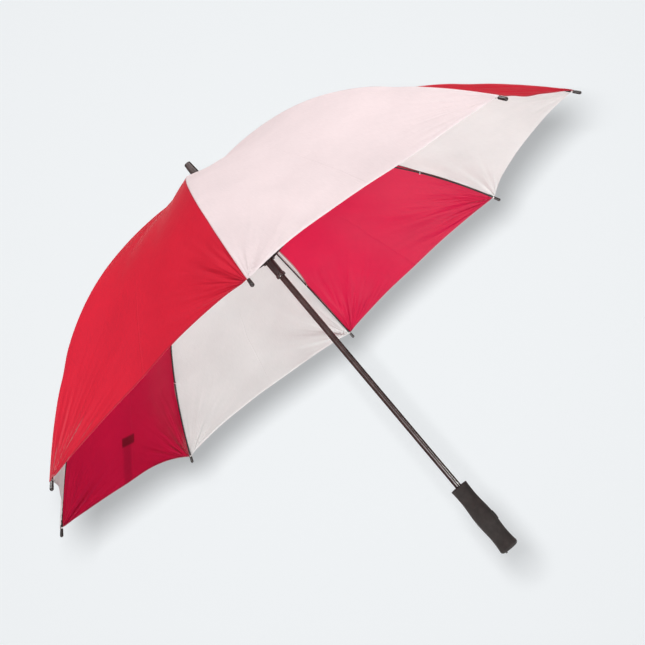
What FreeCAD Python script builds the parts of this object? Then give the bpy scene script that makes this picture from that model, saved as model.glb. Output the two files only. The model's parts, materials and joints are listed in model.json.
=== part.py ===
"""Golf umbrella, drawn open: eight hinged ribs, a sliding runner, eight canopy panels and a latch in the grip.

Millimetres, +Z up along the shaft.  The origin is the middle of the lowest point of the handle; rib 4 lies along +X.
Each rib is worked out once in its own plane (x outwards, y across, z up) and then turned to its azimuth.
"""

import FreeCAD, Part
import math
import os

import Sketcher
from FreeCAD import Placement, Rotation, Vector

os.makedirs("parts", exist_ok=True)
doc = FreeCAD.newDocument("golf_umbrella")

# ---------------------------------------------------------------- driving dimensions

SIZES = {
    "total_length": 960.0,
    "rib_count": 8,
    "hinge_radius": 9.5,
    "hinge_height": 900.0,
    "inner_arc_radius": 720.8,
    "inner_arc_angle": 29.91,
    "outer_arc_radius": 1001.7,
    "outer_arc_angle": 21.49,
    "rib_radius": 1.5,
    "pin_clearance": 0.05,
    "rivet_radius": 0.75,
    "rivet_head_radius": 1.5,
    "ear_radius": 2.2,
    "blade_half_width": 0.7,
    "rib_ear_inner": 0.78,
    "rib_ear_outer": 1.53,
    "link_ear_inner": 1.6,
    "link_ear_outer": 2.4,
    "rivet_head_inner": 2.48,
    "rivet_head_outer": 3.1,
    "link_half_height": 1.5,
    "link_web": 0.7,
    "hub_eye_radius": 1.7,
    "hub_eye_half_width": 1.55,
    "hub_hole_radius": 0.7,
    "hub_wire_radius": 0.55,
    "hub_wire_ring": 9.56,
    "slot_width": 3.3,
    "slot_floor_radius": 7.6,
    "groove_floor_radius": 8.9,
    "groove_width": 1.3,
    "shaft_radius": 6.25,
    "shaft_bore_radius": 5.45,
    "shaft_bottom": 12.0,
    "shaft_top": 936.0,
    "shaft_slot_width": 2.2,
    "shaft_slot_bottom": 132.4,
    "shaft_slot_top": 690.0,
    "notch_radius": 13.0,
    "notch_below": 4.2,
    "notch_above": 2.2,
    "runner_flange_radius": 13.3,
    "runner_flange_below": 3.0,
    "runner_flange_above": 2.2,
    "runner_barrel_radius": 8.9,
    "runner_waist_radius": 8.5,
    "runner_collar_radius": 9.8,
    "runner_collar_height": 6.0,
    "runner_bottom": 668.0,
    "runner_bore_radius": 6.32,
    "key_radius": 1.0,
    "key_height": 685.0,
    "ferrule_base_height": 908.0,
    "ferrule_base_radius": 10.1,
    "ferrule_tip_radius": 6.85,
    "ferrule_edge": 1.6,
    "cap_radius": 3.25,
    "cap_base_radius": 2.8,
    "cap_length": 16.5,
    "cap_wall": 2.3,
    "rod_end": 2.5,
    "canopy_clearance": 3.1,
    "canopy_thickness": 1.0,
    "canopy_seam_gap": 0.3,
    "canopy_scallop": 25.0,
    "canopy_sag": 8.0,
    "canopy_inner_radius": 7.2,
    "washer_radius": 11.0,
    "washer_gap": 0.25,
    "handle_face": 2.5,
    "grip_top": 149.0,
    "grip_top_radius": 17.5,
    "grip_upper_node_height": 99.0,
    "grip_upper_node_radius": 17.7,
    "grip_lower_node_height": 53.0,
    "grip_lower_node_radius": 18.1,
    "grip_end_height": 9.0,
    "grip_end_radius": 19.0,
    "grip_upper_waist_arc": 260.0,
    "grip_belly_arc": 240.0,
    "grip_lower_waist_arc": 190.0,
    "grip_corner": 5.5,
    "core_radius": 12.5,
    "core_top": 147.0,
    "socket_radius": 10.4,
    "socket_floor": 112.0,
    "end_cap_height": 8.0,
    "latch_half_width": 1.5,
    "latch_pivot_radius": 10.6,
    "latch_pivot_height": 102.0,
    "latch_pin_radius": 0.8,
    "latch_foot_height": 68.5,
    "latch_top_height": 128.8,
    "latch_room_below": 7.0,
    "latch_room_above": 4.2,
    "button_height": 68.0,
    "button_width": 8.0,
    "button_length": 18.0,
    "button_proud_radius": 20.2,
    "button_spring_height": 63.0,
    "button_spring_foot": 9.4,
    "button_coil_radius": 1.5,
    "button_wire_radius": 0.2,
    "spring_wire_radius": 0.45,
    "spring_coil_radius": 3.6,
    "spring_pitch": 6.0,
}

sheet = doc.addObject("Spreadsheet::Sheet", "Sizes")
for row, (alias, number) in enumerate(SIZES.items(), start=1):
    sheet.set(f"A{row}", alias)
    sheet.set(f"B{row}", str(number))
    sheet.setAlias(f"B{row}", alias)
doc.recompute()


class Dim:
    """A length read from the sheet: its number, and the sheet expression that gives it."""

    def __init__(self, number, text):
        self.number = number
        self.text = text

    def _join(self, other, sign, number):
        other_text = other.text if isinstance(other, Dim) else repr(float(other))
        return Dim(number, f"({self.text} {sign} {other_text})")

    def __add__(self, other):
        return self._join(other, "+", self.number + num(other))

    def __sub__(self, other):
        return self._join(other, "-", self.number - num(other))

    def __mul__(self, other):
        return self._join(other, "*", self.number * num(other))


def num(value):
    """The plain number of a Dim or of a number."""
    return value.number if isinstance(value, Dim) else float(value)


def dim(alias):
    """The sheet's size of that name."""
    return Dim(float(sheet.get(alias)), f"Sizes.{alias}")


def bind(obj, **sizes):
    """Set each property from its Dim, or from a plain number."""
    for prop, value in sizes.items():
        setattr(obj, prop, num(value))
        if isinstance(value, Dim):
            obj.setExpression(prop, value.text)
    return obj


# ---------------------------------------------------------------- building blocks

ACROSS = Rotation(Vector(1, 0, 0), -90)  # stands a primitive's z axis along +y
OUTWARDS = Rotation(Vector(0, 1, 0), 90)  # and along +x


def named(obj, label):
    obj.Label = label
    return obj


def cylinder(name, radius, height, base, rotation=Rotation()):
    obj = bind(doc.addObject("Part::Cylinder", name), Radius=radius, Height=height)
    obj.Placement = Placement(base, rotation)
    return obj


def cross_pin(name, radius, low, high, centre):
    """A round bar along y, from low to high."""
    base = centre + Vector(0, num(low), 0)
    length = high - low if isinstance(high, Dim) else num(high) - num(low)
    return cylinder(name, radius, length, base, ACROSS)


def box(name, length, width, height, corner, placement=Placement()):
    obj = bind(doc.addObject("Part::Box", name), Length=length, Width=width, Height=height)
    obj.Placement = placement.multiply(Placement(corner, Rotation()))
    return obj


def joined(name, shapes):
    obj = doc.addObject("Part::MultiFuse", name)
    obj.Shapes = shapes
    obj.Refine = False
    return obj


def carved(name, base, tool):
    obj = doc.addObject("Part::Cut", name)
    obj.Base = base
    obj.Tool = tool
    obj.Refine = False
    return obj


def origin_plane(body, role):
    return next(f for f in body.Origin.OriginFeatures if f.Role == role)


def new_body(label):
    return named(doc.addObject("PartDesign::Body", label), label)


def outline(body, name, vertices, role="XZ_Plane", arcs=None):
    """A closed sketch through vertices given as (Dim, Dim); arcs maps an edge's index to (Dim radius, side)."""
    arcs = arcs or {}
    sketch = body.newObject("Sketcher::SketchObject", name)
    sketch.AttachmentSupport = (origin_plane(body, role), [""])
    sketch.MapMode = "FlatFace"
    points = [Vector(num(x), num(y), 0) for x, y in vertices]
    count = len(points)
    ends = []
    for i in range(count):
        start, stop = points[i], points[(i + 1) % count]
        if i in arcs:
            radius, side = arcs[i]
            chord = stop - start
            half = chord.Length / 2
            lean = Vector(-chord.y, chord.x, 0).normalize() * side
            sagitta = num(radius) - math.sqrt(num(radius) ** 2 - half**2)
            middle = (start + stop) * 0.5 + lean * sagitta
            sketch.addGeometry(Part.Arc(start, middle, stop), False)
            first = sketch.getPoint(i, 1)
            ends.append((1, 2) if first.distanceToPoint(start) < 1e-6 else (2, 1))
        else:
            sketch.addGeometry(Part.LineSegment(start, stop), False)
            ends.append((1, 2))
    for i in range(count):
        following = (i + 1) % count
        sketch.addConstraint(Sketcher.Constraint("Coincident", i, ends[i][1], following, ends[following][0]))
    for i, (x, y) in enumerate(vertices):
        for kind, axis, value in (("DistanceX", -2, x), ("DistanceY", -1, y)):
            if num(value) == 0:
                sketch.addConstraint(Sketcher.Constraint("PointOnObject", i, ends[i][0], axis))
                continue
            index = sketch.addConstraint(Sketcher.Constraint(kind, -1, 1, i, ends[i][0], num(value)))
            if isinstance(value, Dim):
                sketch.setExpression(f"Constraints[{index}]", value.text)
    for i, (radius, _) in arcs.items():
        index = sketch.addConstraint(Sketcher.Constraint("Radius", i, num(radius)))
        sketch.setExpression(f"Constraints[{index}]", radius.text)
    return sketch


def turned(body, name, vertices, arcs=None, kind="PartDesign::Revolution"):
    """A solid of revolution about the shaft's axis; a Groove when kind says so."""
    sketch = outline(body, name + "_profile", vertices, arcs=arcs)
    feature = body.newObject(kind, name)
    feature.Profile = sketch
    feature.ReferenceAxis = (sketch, ["V_Axis"])
    feature.Angle = 360.0
    doc.recompute()
    return feature


def rectangle(left, right, bottom, top):
    return [(left, bottom), (right, bottom), (right, top), (left, top)]


# ---------------------------------------------------------------- rib plane geometry

hinge_radius = dim("hinge_radius")
hinge_height = dim("hinge_height")
RIBS = int(num(dim("rib_count")))
R1 = num(dim("inner_arc_radius"))
A1 = num(dim("inner_arc_angle"))
R2 = num(dim("outer_arc_radius"))
A2 = num(dim("outer_arc_angle"))

HUB = Vector(num(hinge_radius), 0, num(hinge_height))


def direction(angle):
    """The rib's outward normal where it has bent down by that angle."""
    return Vector(math.sin(math.radians(angle)), 0, math.cos(math.radians(angle)))


CENTRE_1 = HUB - direction(0) * R1
JOINT = CENTRE_1 + direction(A1) * R1
CENTRE_2 = JOINT - direction(A1) * R2
TIP = CENTRE_2 + direction(A1 + A2) * R2
INNER_LENGTH = R1 * math.radians(A1)
LINK_LENGTH = (JOINT - HUB).Length
RUNNER_HINGE = Vector(HUB.x, 0, 2 * JOINT.z - HUB.z)
runner_height = Dim(RUNNER_HINGE.z, repr(RUNNER_HINGE.z))
LINK_ANGLE = math.degrees(math.atan2(JOINT.z - RUNNER_HINGE.z, JOINT.x - RUNNER_HINGE.x))


def azimuth(rib):
    return 360.0 / RIBS * (rib - 4)


def around(rib):
    return Placement(Vector(), Rotation(Vector(0, 0, 1), azimuth(rib)))


def rod(name, centre, arc_radius, start, stop):
    """A round rod bent to an arc in the rib's plane, between two bend angles."""
    obj = doc.addObject("Part::Torus", name)
    bind(obj, Radius1=arc_radius, Radius2=dim("rib_radius"))
    obj.Angle3 = stop - start
    upright = Rotation(Vector(1, 1, 1), -120)  # the torus's x axis becomes z, its y axis x and its z axis y
    obj.Placement = Placement(centre, upright.multiply(Rotation(Vector(0, 0, 1), start)))
    return obj


def neck_placement(angle):
    """Local x runs outwards along a rib that has bent down by that angle at the stretcher joint."""
    return Placement(JOINT, Rotation(Vector(0, 1, 0), angle))


def arc_degrees(length, arc_radius):
    return math.degrees(length / arc_radius)


def rib_inner(rib):
    """The half of a rib between the top notch and the stretcher joint, with its rivet."""
    tag = f"rib_inner_{rib}"
    blade = dim("blade_half_width")
    eye = dim("hub_eye_half_width")
    bar = rod(tag + "_rod", CENTRE_1, dim("inner_arc_radius"), arc_degrees(3.4, R1), A1 - arc_degrees(3.4, R1))
    hub_eye = cross_pin(tag + "_hub_eye", dim("hub_eye_radius"), eye * -1, eye, HUB)
    hub_neck = box(tag + "_hub_neck", 5.0, 2.4, 2.4, HUB + Vector(0.9, -1.2, -1.2))
    joint_eye = cross_pin(tag + "_joint_eye", dim("ear_radius"), blade * -1, blade, JOINT)
    neck = box(tag + "_neck", 6.0, blade * 2, 2.8, Vector(-6.4, -num(blade), -1.4), neck_placement(A1))
    solid = joined(tag + "_solid", [bar, hub_eye, hub_neck, joint_eye, neck])
    hub_hole = cross_pin(tag + "_hub_hole", dim("hub_hole_radius"), -2.5, 2.5, HUB)
    joint_hole = cross_pin(tag + "_joint_hole", dim("rivet_radius") + dim("pin_clearance"), -2.5, 2.5, JOINT)
    bored = carved(tag + "_bored", solid, joined(tag + "_holes", [hub_hole, joint_hole]))
    pin = cross_pin(tag + "_pin", dim("rivet_radius"), dim("rivet_head_outer") * -1, dim("rivet_head_outer"), JOINT)
    left = cross_pin(
        tag + "_head_left", dim("rivet_head_radius"), dim("rivet_head_inner"), dim("rivet_head_outer"), JOINT
    )
    right = cross_pin(
        tag + "_head_right",
        dim("rivet_head_radius"),
        dim("rivet_head_outer") * -1,
        dim("rivet_head_inner") * -1,
        JOINT,
    )
    whole = doc.addObject("Part::Compound", tag)
    whole.Links = [bored, joined(tag + "_rivet", [pin, left, right])]
    whole.Placement = around(rib)
    return named(whole, tag)


def rib_outer(rib):
    """The half of a rib between the stretcher joint and the tip, forked round the inner half's blade."""
    tag = f"rib_outer_{rib}"
    inner, outer = dim("rib_ear_inner"), dim("rib_ear_outer")
    stop = A1 + A2 - arc_degrees(num(dim("rod_end")), R2)
    pieces = [rod(tag + "_rod", CENTRE_2, dim("outer_arc_radius"), A1 + arc_degrees(4.0, R2), stop)]
    for side, low, high in (("left", inner, outer), ("right", outer * -1, inner * -1)):
        pieces.append(cross_pin(f"{tag}_ear_{side}", dim("ear_radius"), low, high, JOINT))
        neck = box(f"{tag}_neck_{side}", 6.0, high - low, 2.6, Vector(0, num(low), -1.3), neck_placement(A1))
        pieces.append(neck)
    hole = cross_pin(tag + "_hole", dim("rivet_radius") + dim("pin_clearance"), -3.5, 3.5, JOINT)
    whole = carved(tag, joined(tag + "_solid", pieces), hole)
    whole.Placement = around(rib)
    return named(whole, tag)


def stretcher(rib):
    """A channel-section link from the rib's rivet down to the runner, open underneath."""
    tag = f"stretcher_{rib}"
    inner, outer = dim("link_ear_inner"), dim("link_ear_outer")
    half = dim("link_half_height")
    along = Placement(JOINT, Rotation(Vector(0, 1, 0), 180.0 - LINK_ANGLE))  # local x runs down to the runner
    wall_length = LINK_LENGTH - 11.0
    pieces = []
    for side, low, high in (("left", inner, outer), ("right", outer * -1, inner * -1)):
        pieces.append(cross_pin(f"{tag}_ear_{side}", dim("ear_radius"), low, high, JOINT))
        wall = box(
            f"{tag}_wall_{side}", wall_length, high - low, half * 2, Vector(0, num(low), -num(half)), along
        )
        pieces.append(wall)
    web_corner = Vector(8.0, -num(outer), -num(half))  # local z points down, so the web is on the upper side
    pieces.append(box(tag + "_web", wall_length - 8.0, outer * 2, dim("link_web"), web_corner, along))
    eye = dim("hub_eye_half_width")
    blade_corner = Vector(LINK_LENGTH - 18.0, -num(eye), -1.4)
    pieces.append(box(tag + "_blade", 18.0, eye * 2, 2.8, blade_corner, along))
    pieces.append(cross_pin(tag + "_runner_eye", dim("hub_eye_radius"), eye * -1, eye, RUNNER_HINGE))
    hub_hole = cross_pin(tag + "_runner_hole", dim("hub_hole_radius"), -2.5, 2.5, RUNNER_HINGE)
    joint_hole = cross_pin(tag + "_joint_hole", dim("rivet_radius") + dim("pin_clearance"), -3.5, 3.5, JOINT)
    whole = carved(tag, joined(tag + "_solid", pieces), joined(tag + "_holes", [hub_hole, joint_hole]))
    whole.Placement = around(rib)
    return named(whole, tag)


def tip_cap(rib):
    """The rounded plastic cap on a rib's end, with the blind hole that the rod is pushed into."""
    tag = f"tip_cap_{rib}"
    radius, base = dim("cap_radius"), dim("cap_base_radius")
    length = num(dim("cap_length"))
    back = CENTRE_2 + direction(A1 + A2 - arc_degrees(length, R2)) * R2
    heading = TIP - back
    along = Rotation(Vector(0, 0, 1), heading)
    cone = doc.addObject("Part::Cone", tag + "_cone")
    bind(cone, Radius1=base, Radius2=radius, Height=length - num(radius))
    cone.Placement = Placement(back, along)
    ball = bind(doc.addObject("Part::Sphere", tag + "_ball"), Radius=radius)
    ball.Placement = Placement(back + heading.normalize() * (length - num(radius)), Rotation())
    hole = cylinder(tag + "_hole", dim("rib_radius"), length - num(dim("cap_wall")), back, along)
    whole = carved(tag, joined(tag + "_solid", [cone, ball]), hole)
    whole.Placement = around(rib)
    return named(whole, tag)


# ---------------------------------------------------------------- canopy


def bend_normal(length):
    """The outward normal of a rib, in its own plane, at an arc length from the hub."""
    beyond = length - INNER_LENGTH
    if beyond < 0:
        return direction(arc_degrees(length, R1))
    return direction(A1 + arc_degrees(beyond, R2))


def seam_point(length, rib, lift):
    """A point over a rib at an arc length from the hub, lifted off its centre line."""
    centre, arc_radius = (CENTRE_1, R1) if length < INNER_LENGTH else (CENTRE_2, R2)
    return around(rib).multVec(centre + bend_normal(length) * (arc_radius + lift))


def belly(share):
    """How much of the sag a panel takes at a share of the way down the rib: most just past the middle."""
    return 4 * share * (1.2 - share)


def canopy_surface(rib, lift):
    """The panel's cloth between two ribs, sagging a little between them, with its rim cut to a hollow curve."""
    clear = num(dim("canopy_seam_gap"))
    sag = num(dim("canopy_sag"))
    rib_length = INNER_LENGTH + R2 * math.radians(A2)
    rim_length = rib_length - num(dim("cap_length")) - 0.8
    start = num(dim("canopy_inner_radius")) - HUB.x
    rows = []
    for i in range(9):
        across = i / 8
        rim = rim_length - num(dim("canopy_scallop")) * 4 * across * (1 - across)
        row = []
        for j in range(17):
            length = start + (rim - start) * j / 16
            left = seam_point(length, rib, lift)
            right = seam_point(length, rib + 1, lift)
            inset = clear / left.distanceToPoint(right)
            share = inset + (1 - 2 * inset) * across
            hollow = sag * 4 * across * (1 - across) * belly(length / rib_length)
            row.append(left + (right - left) * share - around(rib + 0.5).multVec(bend_normal(length)) * hollow)
        rows.append(row)
    surface = Part.BSplineSurface()
    surface.interpolate(rows)
    return surface.toShape()


def canopy_panel(rib):
    """One gore as a thin closed solid: upper and lower cloth faces with ruled edges between them."""
    following = rib % RIBS + 1
    label = f"canopy_panel_{rib}_{following}"
    lift = num(dim("canopy_clearance"))
    lower = canopy_surface(rib, lift)
    upper = canopy_surface(rib, lift + num(dim("canopy_thickness")))
    faces = [lower, upper]
    for low_edge, high_edge in zip(lower.Edges, upper.Edges):
        faces.append(Part.makeRuledSurface(low_edge, high_edge))
    shell = Part.makeShell(faces)
    shell.sewShape()
    solid = Part.makeSolid(shell)
    if solid.Volume < 0:
        solid.reverse()
    panel = doc.addObject("Part::Feature", label)
    panel.Shape = solid
    panel.Placement = Placement()
    return named(panel, label)


# ---------------------------------------------------------------- shaft, notch, runner and ferrule


def make_shaft():
    """The steel tube, with a slot down its back for the runner's key."""
    low, high = dim("shaft_bottom"), dim("shaft_top")
    tube = cylinder("shaft_outside", dim("shaft_radius"), high - low, Vector(0, 0, num(low)))
    bore = cylinder("shaft_bore", dim("shaft_bore_radius"), high - low, Vector(0, 0, num(low)))
    slot_low, width = dim("shaft_slot_bottom"), dim("shaft_slot_width")
    corner = Vector(-num(width) / 2, 0, num(slot_low))
    slot = box("shaft_slot", width, 10.0, dim("shaft_slot_top") - slot_low, corner)
    return named(carved("shaft", tube, joined("shaft_openings", [bore, slot])), "shaft")


def spoke_slots(name, height, low, high):
    """Boxes that cut a slot through a ring for every rib, from the slot floor outwards."""
    floor, width = dim("slot_floor_radius"), dim("slot_width")
    cuts = []
    for rib in range(1, RIBS + 1):
        corner = Vector(num(floor), -num(width) / 2, height - num(low) - 1.0)
        cut = box(f"{name}_{rib}", 12.0, width, low + high + 2.0, corner, around(rib))
        cuts.append(cut)
    return cuts


def slotted(label, turning, height, low, high):
    """Cut the rib slots and the wire groove into a turned ring."""
    groove = dim("groove_width")
    ring = cylinder(f"{label}_groove_outside", 20.0, groove, Vector(0, 0, height - num(groove) / 2))
    keep = cylinder(
        f"{label}_groove_floor", dim("groove_floor_radius"), groove, Vector(0, 0, height - num(groove) / 2)
    )
    wire_groove = carved(f"{label}_groove", ring, keep)
    tools = joined(f"{label}_cuts", spoke_slots(f"{label}_slot", height, low, high) + [wire_groove])
    return carved(label, turning, tools)


def wire_ring(label, height):
    """The bent wire that the eyes hinge on."""
    ring = doc.addObject("Part::Torus", label)
    bind(ring, Radius1=dim("hub_wire_ring"), Radius2=dim("hub_wire_radius"))
    ring.Placement = Placement(Vector(0, 0, height), Rotation())
    return named(ring, label)


def make_top_notch():
    low, high = dim("notch_below"), dim("notch_above")
    body = doc.addObject("PartDesign::Body", "notch_turning")
    turned(
        body,
        "notch_ring",
        rectangle(dim("shaft_radius"), dim("notch_radius"), hinge_height - low, hinge_height + high),
    )
    return named(slotted("top_notch", body, num(hinge_height), low, high), "top_notch")


def make_runner():
    low, high = dim("runner_flange_below"), dim("runner_flange_above")
    bore, bottom = dim("runner_bore_radius"), dim("runner_bottom")
    collar, collar_top = dim("runner_collar_radius"), bottom + dim("runner_collar_height")
    flange_low, flange_top = runner_height - low, runner_height + high
    body = doc.addObject("PartDesign::Body", "runner_turning")
    turned(
        body,
        "runner_barrel",
        [
            (bore, bottom),
            (collar - 0.8, bottom),
            (collar, bottom + 0.8),
            (collar, collar_top - 1.0),
            (dim("runner_waist_radius"), collar_top + 1.2),
            (dim("runner_barrel_radius"), flange_low - 4.0),
            (dim("runner_barrel_radius"), flange_low),
            (dim("runner_flange_radius"), flange_low),
            (dim("runner_flange_radius"), flange_top),
            (bore, flange_top),
        ],
    )
    ring = slotted("runner_slotted", body, num(runner_height), low, high)
    hole = cylinder(
        "runner_key_hole", dim("key_radius"), 12.0, Vector(0, 0, num(dim("key_height"))), ACROSS
    )
    return named(carved("runner", ring, hole), "runner")


def make_runner_key():
    """The pin through the shaft's slot that ties the runner to the opening spring."""
    height, reach = num(dim("key_height")), dim("runner_waist_radius") - 0.3
    key = cylinder("runner_key", dim("key_radius"), reach + 2.0, Vector(0, -2.0, height), ACROSS)
    return named(key, "runner_key")


def coil(label, coil_radius, wire_radius, pitch, height, base, rotation=Rotation()):
    """A helical spring standing on base."""
    spine = bind(doc.addObject("Part::Helix", label + "_path"), Radius=coil_radius, Pitch=pitch, Height=height)
    wire = bind(doc.addObject("Part::Circle", label + "_wire"), Radius=wire_radius)
    wire.Placement = Placement(Vector(num(coil_radius), 0, 0), Rotation(Vector(1, 0, 0), 90))
    doc.recompute()
    spring = doc.addObject("Part::Sweep", label)
    spring.Sections = [wire]
    spring.Spine = (spine, [])
    spring.Solid = True
    spring.Frenet = True
    spring.Placement = Placement(base, rotation)
    return named(spring, label)


def make_opening_spring():
    """The long spring inside the shaft that draws the runner up when the latch lets go."""
    foot = num(dim("key_height")) + num(dim("key_radius")) + 1.2
    length = num(dim("shaft_top")) - foot - 8.0
    return coil(
        "opening_spring",
        dim("spring_coil_radius"),
        dim("spring_wire_radius"),
        dim("spring_pitch"),
        length,
        Vector(0, 0, foot),
    )


def make_spring_anchor():
    """The plug in the shaft's top that the opening spring hooks on to."""
    top = num(dim("shaft_top"))
    return named(cylinder("spring_anchor", dim("shaft_bore_radius"), 6.0, Vector(0, 0, top - 7.0)), "spring_anchor")


def make_crown_washer():
    """The disc that holds the middle of the canopy down on the notch."""
    low = hinge_height + dim("canopy_clearance") + dim("canopy_thickness") + dim("washer_gap")
    height = dim("ferrule_base_height") - low
    outside = cylinder("crown_outside", dim("washer_radius"), height, Vector(0, 0, num(low)))
    bore = cylinder("crown_bore", dim("shaft_radius"), 8.0, Vector(0, 0, num(low) - 2.0))
    return named(carved("crown_washer", outside, bore), "crown_washer")


def make_ferrule():
    """The tapered point that caps the shaft above the canopy."""
    body = new_body("ferrule")
    base, top = dim("ferrule_base_height"), dim("total_length")
    radius, edge = dim("ferrule_tip_radius"), dim("ferrule_edge")
    turned(
        body,
        "ferrule_turning",
        [
            (dim("shaft_radius"), base),
            (dim("ferrule_base_radius"), base),
            (radius, top - edge),
            (radius - edge, top),
            (0, top),
            (0, dim("shaft_top")),
            (dim("shaft_radius"), dim("shaft_top")),
        ],
        arcs={2: (edge * 1.3, -1)},
    )
    return body


# ---------------------------------------------------------------- handle


def make_handle_core():
    """The plastic tube under the foam: it grips the shaft below and receives the runner's collar above."""
    body = doc.addObject("PartDesign::Body", "core_turning")
    outer, bottom, top = dim("core_radius"), dim("handle_face") + dim("end_cap_height"), dim("core_top")
    shaft, floor = dim("shaft_radius"), dim("socket_floor")
    turned(
        body,
        "core_tube",
        [
            (shaft, bottom),
            (outer, bottom),
            (outer, top),
            (dim("socket_radius") + 0.6, top),
            (dim("socket_radius"), top - 0.8),
            (dim("socket_radius"), floor),
            (shaft, floor),
        ],
    )
    half = num(dim("latch_half_width")) + 0.2
    latch_low, latch_high = num(dim("latch_foot_height")) - 1.0, num(dim("latch_top_height")) + 2.2
    slot = box("core_latch_slot", 8.0, 2 * half, latch_high - latch_low, Vector(6.0, -half, latch_low))
    pocket = cylinder(
        "core_spring_pocket",
        dim("button_coil_radius") + 0.5,
        6.0,
        Vector(num(dim("button_spring_foot")), 0, num(dim("button_spring_height"))),
        OUTWARDS,
    )
    hinge = cross_pin(
        "core_latch_hole",
        dim("latch_pin_radius"),
        -4.5,
        4.5,
        Vector(num(dim("latch_pivot_radius")), 0, num(dim("latch_pivot_height"))),
    )
    return named(carved("handle_core", body, joined("core_openings", [slot, pocket, hinge])), "handle_core")


def make_grip():
    """The moulded foam grip: a waist under the top, a belly for the palm, a second waist and a flared end."""
    body = doc.addObject("PartDesign::Body", "grip_turning")
    core, face, top = dim("core_radius"), dim("handle_face"), dim("grip_top")
    end, corner = dim("grip_end_radius"), dim("grip_corner")
    turned(
        body,
        "grip_foam",
        [
            (core, face),
            (end - corner, face),
            (end, face + corner + 0.8),
            (dim("grip_lower_node_radius"), dim("grip_lower_node_height")),
            (dim("grip_upper_node_radius"), dim("grip_upper_node_height")),
            (dim("grip_top_radius"), top - 1.5),
            (dim("grip_top_radius") - 1.5, top),
            (core - 1.5, top),
            (core - 1.5, dim("core_top")),
            (core, dim("core_top")),
        ],
        arcs={
            1: (corner * 1.06, -1),
            2: (dim("grip_lower_waist_arc"), 1),
            3: (dim("grip_belly_arc"), -1),
            4: (dim("grip_upper_waist_arc"), 1),
            5: (dim("ferrule_edge"), -1),
        },
    )
    height = num(dim("button_height"))
    width, length = num(dim("button_width")) + 0.6, num(dim("button_length")) + 0.6
    window = box("grip_window", 12.0, width, length, Vector(12.0, -width / 2, height - length / 2))
    room_low = num(dim("latch_pivot_height")) - num(dim("latch_room_below"))
    room_high = num(dim("latch_top_height")) + num(dim("latch_room_above"))
    latch_room = box("grip_latch_room", 3.2, 4.0, room_high - room_low, Vector(12.0, -2.0, room_low))
    return named(carved("grip", body, joined("grip_openings", [window, latch_room])), "grip")


def make_end_cap():
    """The plug that closes the handle, with the small lug that a wrist strap ties to."""
    face, height = dim("handle_face"), dim("end_cap_height")
    plug = cylinder("end_cap_plug", dim("core_radius"), height, Vector(0, 0, num(face)))
    lug = box("end_cap_lug", 3.0, 6.0, face + 3.0, Vector(-11.5, -3.0, 0))
    return named(joined("end_cap", [plug, lug]), "end_cap")


def make_latch_lever():
    """The lever whose nose holds the runner's collar down; the button rocks it outwards."""
    half = dim("latch_half_width")
    pivot = Vector(num(dim("latch_pivot_radius")), 0, num(dim("latch_pivot_height")))
    foot, top = dim("latch_foot_height"), dim("latch_top_height")
    bar = box("latch_bar", 1.8, half * 2, top - foot, Vector(10.55, -num(half), num(foot)))
    boss = cross_pin("latch_boss", 1.9, half * -1, half, pivot)
    nose = box("latch_nose", 1.4, half * 2, 3.4, Vector(9.95, -num(half), num(top) - 3.4))
    hole = cross_pin("latch_hole", dim("latch_pin_radius") + dim("pin_clearance"), -2.5, 2.5, pivot)
    return named(carved("latch_lever", joined("latch_solid", [bar, boss, nose]), hole), "latch_lever")


def make_latch_pin():
    pivot = Vector(num(dim("latch_pivot_radius")), 0, num(dim("latch_pivot_height")))
    return named(cross_pin("latch_pin", dim("latch_pin_radius"), -4.5, 4.5, pivot), "latch_pin")


def make_push_button():
    """The thumb pad in the grip's belly, with the stem that reaches the latch lever's foot."""
    height = num(dim("button_height"))
    width, length = dim("button_width"), dim("button_length")
    back, front = 15.6, dim("button_proud_radius")
    pad = box("button_pad", front - back, width, length, Vector(back, -num(width) / 2, height - num(length) / 2))
    tip = cylinder("button_crown", 60.0, width, Vector(num(front) - 60.0, -num(width) / 2, height), ACROSS)
    crowned = doc.addObject("Part::MultiCommon", "button_crowned")
    crowned.Shapes = [pad, tip]
    stem = box("button_stem", 3.4, 2.4, 2.8, Vector(12.45, -1.2, num(dim("latch_foot_height")) + 1.5))
    return named(joined("push_button", [crowned, stem]), "push_button")


def make_button_spring():
    """The little spring that pushes the button back out."""
    foot = Vector(num(dim("button_spring_foot")) + 0.3, 0, num(dim("button_spring_height")))
    return coil("button_spring", dim("button_coil_radius"), dim("button_wire_radius"), 0.8, 5.6, foot, OUTWARDS)


# ---------------------------------------------------------------- the parts

parts = [
    make_shaft(),
    make_top_notch(),
    wire_ring("notch_wire", num(hinge_height)),
    make_runner(),
    wire_ring("runner_wire", num(runner_height)),
    make_runner_key(),
    make_opening_spring(),
    make_spring_anchor(),
    make_crown_washer(),
    make_ferrule(),
    make_handle_core(),
    make_grip(),
    make_end_cap(),
    make_latch_lever(),
    make_latch_pin(),
    make_push_button(),
    make_button_spring(),
]
for maker in (rib_inner, rib_outer, stretcher, tip_cap, canopy_panel):
    parts += [maker(rib) for rib in range(1, RIBS + 1)]

doc.recompute()

for obj in doc.Objects:
    if {"Invalid", "Error"} & set(obj.State):
        raise RuntimeError(f"{obj.Name} did not build: {obj.State}")
for part in parts:
    if part.Shape.isNull() or not part.Shape.isValid():
        raise RuntimeError(f"{part.Label} has no valid shape")
    if not part.Shape.Solids:
        raise RuntimeError(f"{part.Label} holds no solid")
for part in parts:
    part.Shape.exportStep(f"parts/{part.Label}.step")
print(len(parts), "parts written")
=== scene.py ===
"""The looks of an open golf umbrella: eight sewn cloth gores round a black hinged frame.

Metres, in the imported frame.  The cloth is drawn from the rib hinges that the frame gives, so it
follows the ribs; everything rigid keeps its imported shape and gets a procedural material.
"""

import json
import math

import bpy
import numpy as np
from mathutils import Matrix, Vector


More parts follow.
